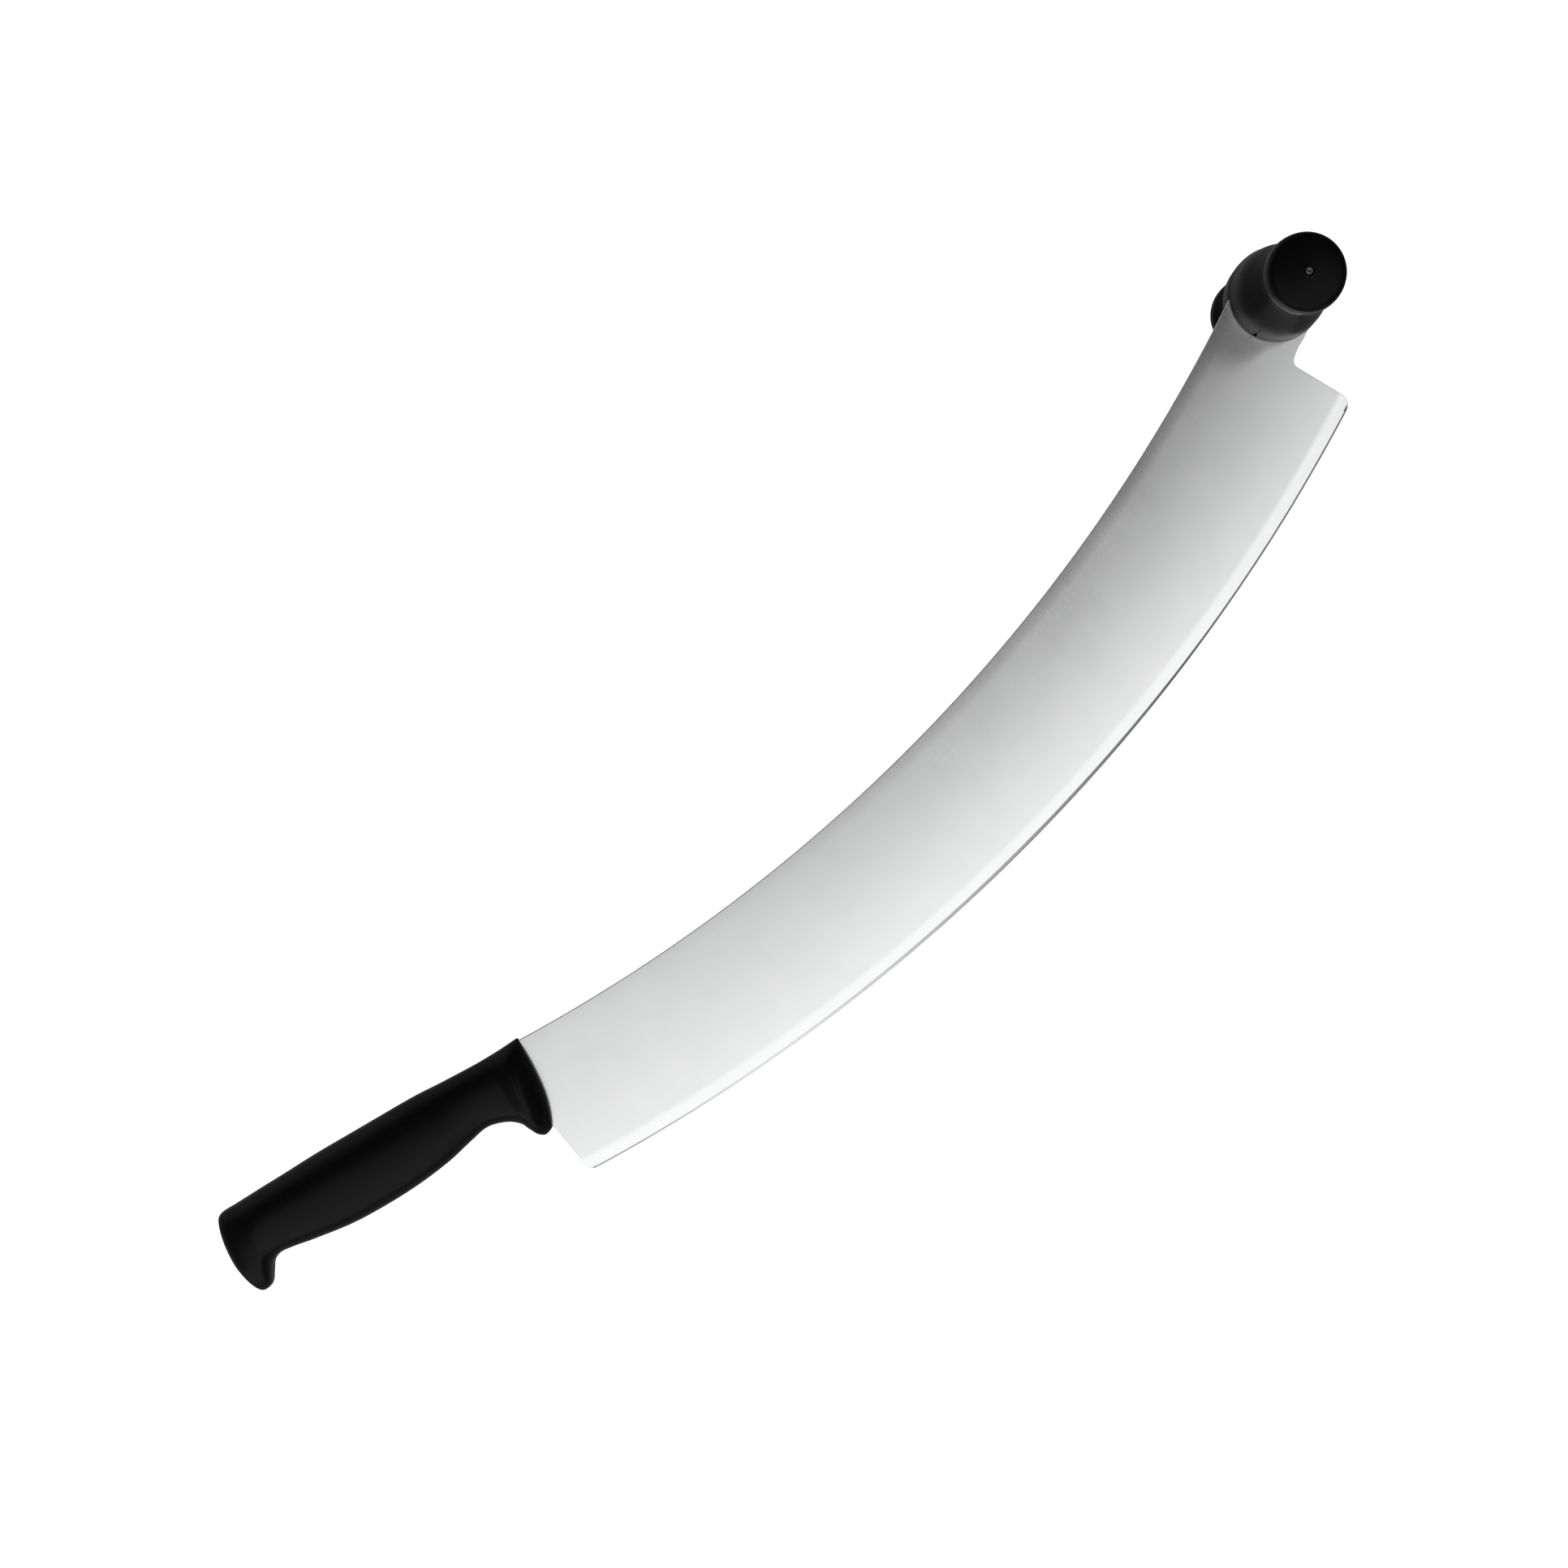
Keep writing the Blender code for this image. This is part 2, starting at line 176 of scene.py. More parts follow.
def blade_outline(step):
    """The blade once round, and how many of its points, from where, are the cutting edge."""
    top = [from_handle(p) for p in TANG_TOP]
    low = [from_handle(p) for p in TANG_LOW]
    path = []
    path += rounded(top[0], top[1], low[1], 4.0)
    path += rounded(top[1], low[1], low[0], 4.0)
    path += rounded(low[1], low[0], HEEL_TOP, 3.0)
    edge_at = angle_of(EDGE_C, HEEL_LOW)
    along = (EDGE_C[0] + EDGE_R * math.cos(edge_at + 0.02),
             EDGE_C[1] + EDGE_R * math.sin(edge_at + 0.02))
    heel = rounded(HEEL_TOP, HEEL_LOW, along, HEEL_R)
    path += in_steps([path[-1], heel[0]], 2.0)[1:-1] + heel
    first = len(path) - 1
    tip_at = angle_of(EDGE_C, TIP_LOW)
    path += arc(EDGE_C, EDGE_R, edge_at + 4.5 / EDGE_R, tip_at - 6.0 / EDGE_R, step)
    last = len(path)
    along = (EDGE_C[0] + EDGE_R * math.cos(tip_at - 0.02),
             EDGE_C[1] + EDGE_R * math.sin(tip_at - 0.02))
    path += rounded(along, TIP_LOW, STEP_IN, TIP_R)
    step_in = rounded(TIP_LOW, STEP_IN, NECK_MID, STEP_R)
    path += in_steps([path[-1], step_in[0]], 2.0)[1:-1] + step_in
    path += [NECK_MID, NECK_NEXT, NECK_END]
    path += arc(GRIP_C, STUB_R, angle_of(GRIP_C, STUB_LOW), angle_of(GRIP_C, STUB_HIGH),
                math.radians(6.0))
    spine_end = angle_of(SPINE_C, on_spine(272.5))
    shoulder = on_spine(-152.3)
    path += arc(SPINE_C, SPINE_R, spine_end, angle_of(SPINE_C, shoulder) + 1.0 / SPINE_R, step)
    path += [shoulder]
    path += rounded(shoulder, top[0], top[1], 3.0)
    return path, first, last


def grow(path, distance):
    found = []
    for i, p in enumerate(path):
        a, b = Vector(path[i - 1]), Vector(path[(i + 1) % len(path)])
        p = Vector(p)
        u, v = (p - a).normalized(), (b - p).normalized()
        m, n = Vector((u.y, -u.x)), Vector((v.y, -v.x))
        found.append(tuple(p + (m + n) * (distance / (1.0 + m.dot(n)))))
    return found


def circle(centre, radius, pieces):
    return [(centre[0] + radius * math.cos(2 * math.pi * i / pieces),
             centre[1] + radius * math.sin(2 * math.pi * i / pieces))
            for i in range(pieces)]


def inside(path, p):
    hit = False
    for a, b in zip(path, path[1:] + path[:1]):
        if (a[1] > p[1]) != (b[1] > p[1]):
            if p[0] < a[0] + (b[0] - a[0]) * (p[1] - a[1]) / (b[1] - a[1]):
                hit = not hit
    return hit


def away(path, p):
    """Distance from p to the closed path, and the direction straight away from it."""
    best, where = 1e9, None
    for a, b in zip(path, path[1:] + path[:1]):
        ax, ay, bx, by = a[0], a[1], b[0] - a[0], b[1] - a[1]
        size = bx * bx + by * by
        t = 0.0 if size == 0 else max(0.0, min(1.0, ((p[0] - ax) * bx + (p[1] - ay) * by) / size))
        dx, dy = p[0] - ax - bx * t, p[1] - ay - by * t
        d = dx * dx + dy * dy
        if d < best:
            best, where = d, (dx, dy)
    return math.sqrt(best), where


def add(obj):
    bpy.context.scene.collection.objects.link(obj)
    return obj


def mesh_object(name, verts, faces):
    mesh = bpy.data.meshes.new(name)
    mesh.from_pydata([(x * MM, y * MM, z * MM) for x, y, z in verts], [], faces)
    mesh.update()
    return add(bpy.data.objects.new(name, mesh))


def applied(obj, cutter, solver="EXACT"):
    """obj minus cutter, as a plain mesh again."""
    bpy.context.view_layer.update()
    mod = obj.modifiers.new("cut", "BOOLEAN")
    mod.operation = "DIFFERENCE"
    mod.solver = solver
    mod.object = cutter
    bpy.context.view_layer.update()
    graph = bpy.context.evaluated_depsgraph_get()
    mesh = bpy.data.meshes.new_from_object(obj.evaluated_get(graph))
    old = obj.data
    obj.modifiers.clear()
    obj.data = mesh
    mesh.name = obj.name
    bpy.data.meshes.remove(old)
    return obj


def tidy(obj):
    """Takes out the faces without area that a cut can leave."""
    bm = bmesh.new()
    bm.from_mesh(obj.data)
    bmesh.ops.triangulate(bm, faces=[f for f in bm.faces if len(f.verts) > 4])
    bmesh.ops.dissolve_degenerate(bm, dist=0.0005 * MM, edges=bm.edges[:])
    thin = [f for f in bm.faces if f.calc_area() < 1e-15]
    bmesh.ops.delete(bm, geom=thin, context="FACES")
    bm.to_mesh(obj.data)
    bm.free()
    obj.data.update()


def remove(obj):
    mesh = obj.data
    bpy.data.objects.remove(obj, do_unlink=True)
    bpy.data.meshes.remove(mesh)


def settle(obj, matrix):
    """Puts the placement into the mesh, so that its bounds are those of its surface."""
    obj.data.transform(matrix)
    obj.data.update()
    obj.matrix_world = Matrix.Identity(4)


def smooth(obj, degrees):
    obj.data.shade_smooth()
    obj.data.set_sharp_from_angle(angle=math.radians(degrees))


# ----------------------------------------------------------------- materials
class Graph:
    """Short names for building a node tree."""

    def __init__(self, tree):
        self.tree = tree

    def new(self, kind, **values):
        node = self.tree.nodes.new(kind)
        for key, value in values.items():
            setattr(node, key, value)
        return node

    def put(self, socket, value):
        if isinstance(value, bpy.types.NodeSocket):
            self.tree.links.new(value, socket)
        else:
            socket.default_value = value

    def math(self, operation, *values):
        node = self.new("ShaderNodeMath", operation=operation)
        for socket, value in zip(node.inputs, values):
            self.put(socket, value)
        return node.outputs[0]

    def dot(self, vector, constant):
        node = self.new("ShaderNodeVectorMath", operation="DOT_PRODUCT")
        self.put(node.inputs[0], vector)
        self.put(node.inputs[1], tuple(constant))
        return node.outputs["Value"]

    def ramp(self, value, low, high, start=0.0, end=1.0, kind="SMOOTHSTEP"):
        node = self.new("ShaderNodeMapRange", interpolation_type=kind, clamp=True)
        for name, v in (("Value", value), ("From Min", low), ("From Max", high),
                        ("To Min", start), ("To Max", end)):
            self.put(node.inputs[name], v)
        return node.outputs["Result"]

    def stretch(self, vector, scale, turn=(0.0, 0.0, 0.0)):
        node = self.new("ShaderNodeMapping", vector_type="POINT")
        self.put(node.inputs["Vector"], vector)
        node.inputs["Scale"].default_value = scale
        node.inputs["Rotation"].default_value = turn
        return node.outputs["Vector"]

    def noise(self, vector, scale, detail=2.0, roughness=0.5, distortion=0.0):
        node = self.new("ShaderNodeTexNoise", noise_dimensions="3D")
        self.put(node.inputs["Vector"], vector)
        node.inputs["Scale"].default_value = scale
        node.inputs["Detail"].default_value = detail
        node.inputs["Roughness"].default_value = roughness
        node.inputs["Distortion"].default_value = distortion
        return node.outputs["Fac"]

    def colour(self, value, stops):
        node = self.new("ShaderNodeValToRGB")
        self.put(node.inputs["Fac"], value)
        ramp = node.color_ramp
        while len(ramp.elements) > 1:
            ramp.elements.remove(ramp.elements[-1])
        ramp.elements[0].position = stops[0][0]
        ramp.elements[0].color = (*stops[0][1], 1.0)
        for position, shade in stops[1:]:
            ramp.elements.new(position).color = (*shade, 1.0)
        return node.outputs["Color"]

    def bump(self, height, strength, distance, normal=None):
        node = self.new("ShaderNodeBump")
        node.inputs["Strength"].default_value = strength
        node.inputs["Distance"].default_value = distance
        self.put(node.inputs["Height"], height)
        if normal is not None:
            self.put(node.inputs["Normal"], normal)
        return node.outputs["Normal"]


def material(name):
    mat = bpy.data.materials.new(name)
    mat.use_nodes = True
    g = Graph(mat.node_tree)
    shader = mat.node_tree.nodes["Principled BSDF"]
    return mat, g, shader


def ground_steel():
    """Stainless sheet, ground across the blade: fine streaks from spine to edge."""
    mat, g, shader = material("ground_steel")
    where = g.new("ShaderNodeUVMap", uv_map="along_and_across").outputs["UV"]
    # streaks: short along the blade, long across it
    fine = g.noise(g.stretch(where, (5200.0, 90.0, 1.0)), 1.0, 2.0, 0.55, 0.0)
    coarse = g.noise(g.stretch(where, (1250.0, 60.0, 1.0)), 1.0, 3.0, 0.6, 0.3)
    cloud = g.noise(g.stretch(where, (85.0, 60.0, 1.0)), 1.0, 3.0, 0.55, 0.2)
    stain = g.noise(g.stretch(where, (26.0, 34.0, 1.0)), 1.0, 2.0, 0.5, 0.0)
    streak = g.math("ADD", g.math("MULTIPLY", fine, 0.45), g.math("MULTIPLY", coarse, 0.55))
    shade = g.math("ADD", g.math("MULTIPLY", streak, 0.5), g.math("MULTIPLY", cloud, 0.5))
    g.put(shader.inputs["Base Color"], g.colour(shade, (
        (0.32, (0.603, 0.608, 0.607)), (0.5, (0.618, 0.623, 0.622)), (0.68, (0.632, 0.636, 0.634)))))
    rough = g.math("ADD", g.ramp(streak, 0.35, 0.65, 0.214, 0.232, "LINEAR"),
                   g.ramp(stain, 0.35, 0.7, -0.008, 0.010, "LINEAR"))
    g.put(shader.inputs["Roughness"], rough)
    shader.inputs["Metallic"].default_value = 1.0
    shader.inputs["Anisotropic"].default_value = 0.95
    along = g.new("ShaderNodeTangent", direction_type="UV_MAP", uv_map="along_and_across")
    g.put(shader.inputs["Tangent"], along.outputs["Tangent"])
    g.put(shader.inputs["Normal"], g.bump(streak, 0.12, 0.00001))
    return mat


def moulded_plastic(name, shade, low, high, specular, grain, depth):
    """Black moulded plastic with the fine pitted grain of a spark-eroded mould."""
    mat, g, shader = material(name)
    where = g.new("ShaderNodeTexCoord").outputs["Object"]
    pits = g.noise(where, grain, 3.0, 0.6, 0.0)
    soft = g.noise(where, grain * 0.22, 2.0, 0.5, 0.0)
    patch = g.noise(where, 55.0, 3.0, 0.55, 0.4)
    rub = g.noise(g.stretch(where, (40.0, 240.0, 240.0)), 1.0, 3.0, 0.6, 0.5)
    tone = g.math("ADD", g.math("MULTIPLY", pits, 0.5), g.math("MULTIPLY", patch, 0.5))
    g.put(shader.inputs["Base Color"], g.colour(tone, (
        (0.3, tuple(c * 0.75 for c in shade)), (0.5, shade), (0.72, tuple(c * 1.3 for c in shade)))))
    worn = g.math("ADD", g.math("MULTIPLY", patch, 0.6), g.math("MULTIPLY", rub, 0.4))
    g.put(shader.inputs["Roughness"], g.math(
        "ADD", g.ramp(worn, 0.34, 0.66, low, high, "LINEAR"), g.ramp(pits, 0.3, 0.7, -0.03, 0.03, "LINEAR")))
    shader.inputs["Specular IOR Level"].default_value = specular
    height = g.math("ADD", g.math("MULTIPLY", pits, 0.7), g.math("MULTIPLY", soft, 0.6))
    g.put(shader.inputs["Normal"], g.bump(height, 0.5, depth))
    return mat


def rod_steel():
    """Plain steel rod, its spread end marked by the riveting tool."""
    mat, g, shader = material("rivet_steel")
    where = g.new("ShaderNodeTexCoord").outputs["Object"]
    marks = g.noise(where, 2600.0, 3.0, 0.6, 0.6)
    dull = g.noise(where, 900.0, 2.0, 0.5, 0.0)
    g.put(shader.inputs["Base Color"], g.colour(marks, (
        (0.38, (0.02, 0.02, 0.019)), (0.62, (0.15, 0.148, 0.145)))))
    g.put(shader.inputs["Roughness"], g.ramp(dull, 0.3, 0.7, 0.34, 0.5, "LINEAR"))
    shader.inputs["Metallic"].default_value = 1.0
    g.put(shader.inputs["Normal"], g.bump(marks, 0.4, 0.00002))
    return mat


STEEL = ground_steel()
HANDLE_BLACK = moulded_plastic("handle_black", (0.0030, 0.0029, 0.0029), 0.28, 0.34, 0.09, 3400.0, 0.00003)
GRIP_BLACK_NEAR = moulded_plastic("grip_black_near", (0.0022, 0.0020, 0.0019), 0.30, 0.36, 0.065, 4200.0, 0.00002)
GRIP_BLACK_FAR = moulded_plastic("grip_black_far", (0.0022, 0.0020, 0.0019), 0.30, 0.36, 0.065, 4200.0, 0.00002)
ROD = rod_steel()


# --------------------------------------------------------------------- blade
outline, edge_first, edge_last = blade_outline(math.radians(0.25))
# all of the outline that isn't the cutting edge, for rounding its arrises
dull_part = outline[edge_last:] + outline[:edge_first + 1]
ROUND = 0.28                   # radius of the arrises along spine, heel, step and neck


def spine_roll(x):
    """How far the flat falls off beside the spine: more towards the tip."""
    t = max(0.0, min(1.0, (x + 40.0) / 140.0))
    return 0.03 + 0.05 * t * t * (3.0 - 2.0 * t)


def grind(d, x):
    """Depth of the grind below the flat, at a distance from the edge. The last bevel is
    widest in the middle of the blade, and it always leaves the same thin edge."""
    spread = 95.0 if x > 45.0 else 150.0
    width = 0.55 + 0.75 * math.exp(-((x - 45.0) / spread) ** 2)
    a, b = 1.75 * width, 0.8 * width
    upper = ((6.8, 0.0), (5.8, 0.012), (4.7, 0.047), (3.5, 0.090), (a, 0.105))
    used = sum((s0 + s1) / 2 * (d0 - d1) for (d0, s0), (d1, s1) in zip(upper, upper[1:]))
    last = (0.965 - used - (a - b) * 0.0525) / ((a + b) / 2)
    knots = upper + ((b, last), (0.0, last))
    depth = 0.0
    for (d0, s0), (d1, s1) in zip(knots, knots[1:]):
        if d >= d0:
            return depth
        if d >= d1:
            s = s0 + (s1 - s0) * (d0 - d) / (d0 - d1)
            return depth + (s0 + s) / 2 * (d0 - d)
        depth += (s0 + s1) / 2 * (d0 - d1)
    return depth


def flat_height(x, y):
    """Half thickness of the blade without its rounded arrises."""
    d_edge = EDGE_R - math.hypot(x - EDGE_C[0], y - EDGE_C[1])
    d_spine = math.hypot(x - SPINE_C[0], y - SPINE_C[1]) - SPINE_R
    across = max(0.0, min(1.0, d_spine / max(1.0, d_spine + d_edge)))
    z = BLADE_T / 2 - 0.155 * ((across - 0.5) / 0.5) ** 2
    near = max(0.0, 1.0 - max(d_spine, 0.0) / 6.0)
    z -= spine_roll(x) * near * near
    z -= grind(max(d_edge, 0.0), x)
    return max(z, 0.03)


dull_edges = list(zip(dull_part, dull_part[1:]))


def to_arris(p):
    """Distance to the dull part of the outline, with the direction away from it."""
    best, where = 1e9, (0.0, 0.0)
    for a, b in dull_edges:
        if abs(a[0] - p[0]) > 8 and abs(b[0] - p[0]) > 8 and min(a[0], b[0]) - p[0] > 0 or \
                max(a[0], b[0]) < p[0] - 8 or min(a[1], b[1]) > p[1] + 8 or max(a[1], b[1]) < p[1] - 8:
            continue
        bx, by = b[0] - a[0], b[1] - a[1]
        size = bx * bx + by * by
        t = 0.0 if size == 0 else max(0.0, min(1.0, ((p[0] - a[0]) * bx + (p[1] - a[1]) * by) / size))
        dx, dy = p[0] - a[0] - bx * t, p[1] - a[1] - by * t
        d = math.hypot(dx, dy)
        if d < best:
            best, where = d, (dx, dy)
    return best, where


def blade_height(p):
    z = flat_height(*p)
    q, _ = to_arris(p)
    r = min(ROUND, 0.7 * z)
    if q < r:
        z -= r - math.sqrt(max(0.0, r * r - (r - q) ** 2))
    return z


def blade_piece():
    """The blank cut into triangles between its outline and the lines of the grind,
    then given its thickness point by point."""
    tang_holes = [circle(from_handle(p), TANG_HOLE_R, 32) for p in TANG_HOLES]
    rivet_hole = circle(GRIP_C, RIVET_HOLE_R, 24)
    points, edges, loops = [], [], []

    def closed(path, face):
        start = len(points)
        points.extend(Vector(p) for p in path)
        ring = list(range(start, start + len(path)))
        if face:
            loops.append(ring)
        else:
            edges.extend(zip(ring, ring[1:] + ring[:1]))

    closed(outline, True)
    for hole in tang_holes + [rivet_hole]:
        closed(hole, True)
    arris = [0.02, 0.06, 0.12, 0.19, 0.28, 0.45]
    for q in arris:
        closed(grow(outline, -q), False)
    shelter = grow(outline, -0.8)

    def run(path):
        """An open line, kept where it is well inside the outline."""
        keep = [p for p in path if inside(shelter, p)]
        last = None
        for p in keep:
            points.append(Vector(p))
            here = len(points) - 1
            if last is not None and math.dist(points[last], p) < 6.0:
                edges.append((last, here))
            last = here

    step = math.radians(0.25)
    a0, a1 = angle_of(EDGE_C, (-172.0, -50.0)), angle_of(EDGE_C, (290.0, -40.0))
    for d in (0.65, 0.8, 0.95, 1.1, 1.25, 1.45, 1.7, 2.0, 2.4, 2.9, 3.5, 4.1, 4.7, 5.3, 5.8, 6.3, 6.8, 8.5, 11.0, 14.0,
              18.0, 23.0, 29.0, 35.0):
        run(arc(EDGE_C, EDGE_R - d, a0, a1, step))
    b0, b1 = angle_of(SPINE_C, on_spine(-152.0)), angle_of(SPINE_C, on_spine(290.0))
    for d in (1.2, 2.0, 3.0, 4.0, 5.0, 6.0, 8.0, 11.0, 15.0, 20.0):
        run(arc(SPINE_C, SPINE_R + d, b0, b1, step))

    flat, _, tris, _, _, from_face = delaunay_2d_cdt(points, edges, loops, 0, 1e-6)
    keep = [t for t, src in zip(tris, from_face) if list(src) == [0]]
    used = sorted({i for t in keep for i in t})
    number = {old: new for new, old in enumerate(used)}
    flat = [tuple(flat[i]) for i in used]
    keep = [tuple(number[i] for i in t) for t in keep]
    count = len(flat)
    heights = [blade_height(p) for p in flat]

    sides = {}
    for t in keep:
        for a, b in zip(t, t[1:] + t[:1]):
            sides[(a, b)] = sides.get((a, b), 0) + 1
    border = [(a, b) for (a, b) in sides if (b, a) not in sides]
    # turn every triangle the same way: counter-clockwise seen from +Z
    def area(t):
        (ax, ay), (bx, by), (cx, cy) = (flat[i] for i in t)
        return (bx - ax) * (cy - ay) - (cx - ax) * (by - ay)
    top = [t if area(t) > 0 else t[::-1] for t in keep]
    verts = [(x, y, z) for (x, y), z in zip(flat, heights)]
    verts += [(x, y, -z) for (x, y), z in zip(flat, heights)]
    faces = list(top) + [tuple(i + count for i in t[::-1]) for t in top]
    faces += [(b, a, a + count, b + count) for a, b in border]

    blade = mesh_object("blade_visible", verts, faces)
    settle(blade, LIE)
    mesh = blade.data

    rim = {}
    for a, b in border:
        dx, dy = flat[b][0] - flat[a][0], flat[b][1] - flat[a][1]
        n = Vector((dy, -dx)).normalized()
        for i in (a, b):
            rim[i] = rim.get(i, Vector((0.0, 0.0))) + n
    normals = []
    e = 0.004
    for i, p in enumerate(flat):
        if i in rim:
            n = Vector((*rim[i].normalized(), 0.0))
        else:
            gx = (blade_height((p[0] + e, p[1])) - blade_height((p[0] - e, p[1]))) / (2 * e)
            gy = (blade_height((p[0], p[1] + e)) - blade_height((p[0], p[1] - e))) / (2 * e)
            n = Vector((-gx, -gy, 1.0)).normalized()
        normals.append(n)
    mesh.shade_smooth()
    uv = mesh.uv_layers.new(name="along_and_across")
    for loop in mesh.loops:
        i = loop.vertex_index
        x, y = flat[i % count]
        uv.data[loop.index].uv = (x * MM, y * MM + (0.3 if i >= count else 0.0))
    turn = LIE.to_3x3()
    both = [tuple(turn @ n) for n in normals]
    both += [tuple(turn @ Vector((n.x, n.y, -n.z))) for n in normals]
    mesh.normals_split_custom_set_from_vertices(both)
    mesh.materials.append(STEEL)
    return blade


blade = blade_piece()


# ------------------------------------------------- room for tang and stub
def plate(name, outlines, half_thickness):
    curve = bpy.data.curves.new(name + "_outline", "CURVE")
    curve.dimensions = "2D"
    curve.fill_mode = "BOTH"
    curve.extrude = half_thickness * MM
    for path in outlines:
        spline = curve.splines.new("POLY")
        spline.points.add(len(path) - 1)
        for knot, p in zip(spline.points, path):
            knot.co = (p[0] * MM, p[1] * MM, 0.0, 1.0)
        spline.use_cyclic_u = True
    drawn = add(bpy.data.objects.new(name + "_outline", curve))
    bpy.context.view_layer.update()
    graph = bpy.context.evaluated_depsgraph_get()
    mesh = bpy.data.meshes.new_from_object(drawn.evaluated_get(graph))
    bpy.data.objects.remove(drawn, do_unlink=True)
    bpy.data.curves.remove(curve)
    bm = bmesh.new()
    bm.from_mesh(mesh)
    bmesh.ops.remove_doubles(bm, verts=bm.verts, dist=1e-6)
    bmesh.ops.recalc_face_normals(bm, faces=bm.faces)
    bm.to_mesh(mesh)
    bm.free()
    return add(bpy.data.objects.new(name, mesh))


coarse_outline, _, _ = blade_outline(math.radians(0.5))
room = plate("blade_room", [grow(coarse_outline, TIGHT)]
             + [circle(from_handle(p), TANG_HOLE_R - TIGHT, 24) for p in TANG_HOLES],
             BLADE_T / 2 + TIGHT)
settle(room, LIE)


# -------------------------------------------------------------------- handle
def through(stations, steps):
    rows = []
    last = len(stations) - 1
    for i in range(last):
        p0, p1 = stations[max(i - 1, 0)], stations[i]
        p2, p3 = stations[i + 1], stations[min(i + 2, last)]
        for k in range(steps):
            t = k / steps
            rows.append([0.5 * (2 * b + (c - a) * t + (2 * a - 5 * b + 4 * c - d) * t * t
                                + (3 * b - a - 3 * c + d) * t ** 3)
                         for a, b, c, d in zip(p0, p1, p2, p3)])
    rows.append(list(stations[-1]))
    return rows


def section(row, points):
    """One section, with the mould's parting line as a fine raised line top and bottom."""
    tx, ty, bx, by, half, bulge = row
    up = Vector((tx - bx, ty - by))
    middle = Vector((tx, ty)) - up * WIDEST
    forward = Vector((up.y, -up.x)).normalized()
    rise = up.normalized()
    found = []
    for k in range(points):
        a = 2 * math.pi * (k + 0.5) / points
        c, s = math.cos(a), math.sin(a)
        power = 2.0 / (TOP_POWER if c > 0 else LOW_POWER)
        h = math.copysign(abs(c) ** power, c)
        w = math.copysign(abs(s) ** power, s) * half
        line = 0.05 * max(0.0, 1.0 - (w / 0.3) ** 2)
        reach = WIDEST if h > 0 else 1.0 - WIDEST
        p = middle + up * (h * reach) + forward * (bulge * (1.0 - h * h)) + rise * math.copysign(line, c)
        found.append((p.x, p.y, w))
    return found


def loft(name, rows, points):
    bm = bmesh.new()
    rings = [[bm.verts.new([c * MM for c in p]) for p in section(r, points)] for r in rows]
    for a, b in zip(rings, rings[1:]):
        for k in range(points):
            n = (k + 1) % points
            bm.faces.new((a[k], a[n], b[n], b[k]))
    for ring in (rings[0], rings[-1]):
        for k in range(points // 2 - 1):
            bm.faces.new((ring[k], ring[k + 1], ring[points - 2 - k], ring[points - 1 - k]))
    bmesh.ops.recalc_face_normals(bm, faces=bm.faces)
    mesh = bpy.data.meshes.new(name)
    bm.to_mesh(mesh)
    bm.free()
    return add(bpy.data.objects.new(name, mesh))


handle = loft("rear_handle_visible", through(STATIONS, 6), 112)
settle(handle, LIE @ Matrix.Translation(Vector((*HANDLE_AT, 0.0)) * MM)
       @ Matrix.Rotation(HANDLE_ANGLE, 4, "Z"))
applied(handle, room)
smooth(handle, 40.0)
handle.data.materials.clear()
handle.data.materials.append(HANDLE_BLACK)


# ---------------------------------------------------------------- cross-grip
def curve_through(points, steps):
    found = []
    last = len(points) - 1
    for i in range(last):
        p0, p1 = points[max(i - 1, 0)], points[i]
        p2, p3 = points[i + 1], points[min(i + 2, last)]
        for k in range(steps):
            t = k / steps
            found.append(tuple(0.5 * (2 * b + (c - a) * t + (2 * a - 5 * b + 4 * c - d) * t * t
                                      + (3 * b - a - 3 * c + d) * t ** 3)
                               for a, b, c, d in zip(p0, p1, p2, p3)))
    found.append(tuple(points[-1]))
    return found


def revolve(name, profile, angles, shift=None):
    """A closed ring turned about Z, from a closed (radius, height) outline."""
    count = len(profile)
    verts, faces = [], []
    for a in angles:
        for r, z in profile:
            rr = r + (shift(a, r, z) if shift else 0.0)
            verts.append((rr * math.cos(a), rr * math.sin(a), z))
    n = len(angles)
    for i in range(n):
        j = (i + 1) % n
        for k in range(count):
            m = (k + 1) % count
            faces.append((i * count + k, j * count + k, j * count + m, i * count + m))
    obj = mesh_object(name, verts, faces)
    bm = bmesh.new()
    bm.from_mesh(obj.data)
    bmesh.ops.recalc_face_normals(bm, faces=bm.faces)
    bm.to_mesh(obj.data)
    bm.free()
    return obj


SEAMS = (math.radians(-163.4), math.radians(16.6))   # where the grip's mould parts


def fine_angles(steps):
    found = [2 * math.pi * i / steps for i in range(steps)]
    for seam in SEAMS:
        s = seam % (2 * math.pi)
        found = [a for a in found if abs((a - s + math.pi) % (2 * math.pi) - math.pi) > 0.044]
        found += [(s + o) % (2 * math.pi)
                  for o in (-0.040, -0.034, -0.028, -0.014, -0.009, 0.0, 0.009, 0.014, 0.028, 0.034, 0.040)]
    return sorted(found)


def off_seam(a, seam):
    return abs((a - seam + math.pi) % (2 * math.pi) - math.pi)


def seam_groove(a, r, z):
    """A fine sunk line down each side, and the nick where the mould was fed, just above
    the near half's rim."""
    if r < 12.9 or abs(z) > 50.0:
        return 0.0
    if 1.7 < z < 5.6 and r > 18.3:
        return -2.4 * max(0.0, min(1.0, (0.040 - off_seam(a, SEAMS[0])) / 0.006))
    deep = 0.3 if abs(z) < 13.0 else 0.05
    near = min(off_seam(a, s) for s in SEAMS)
    return -deep * max(0.0, 1.0 - near / 0.009)


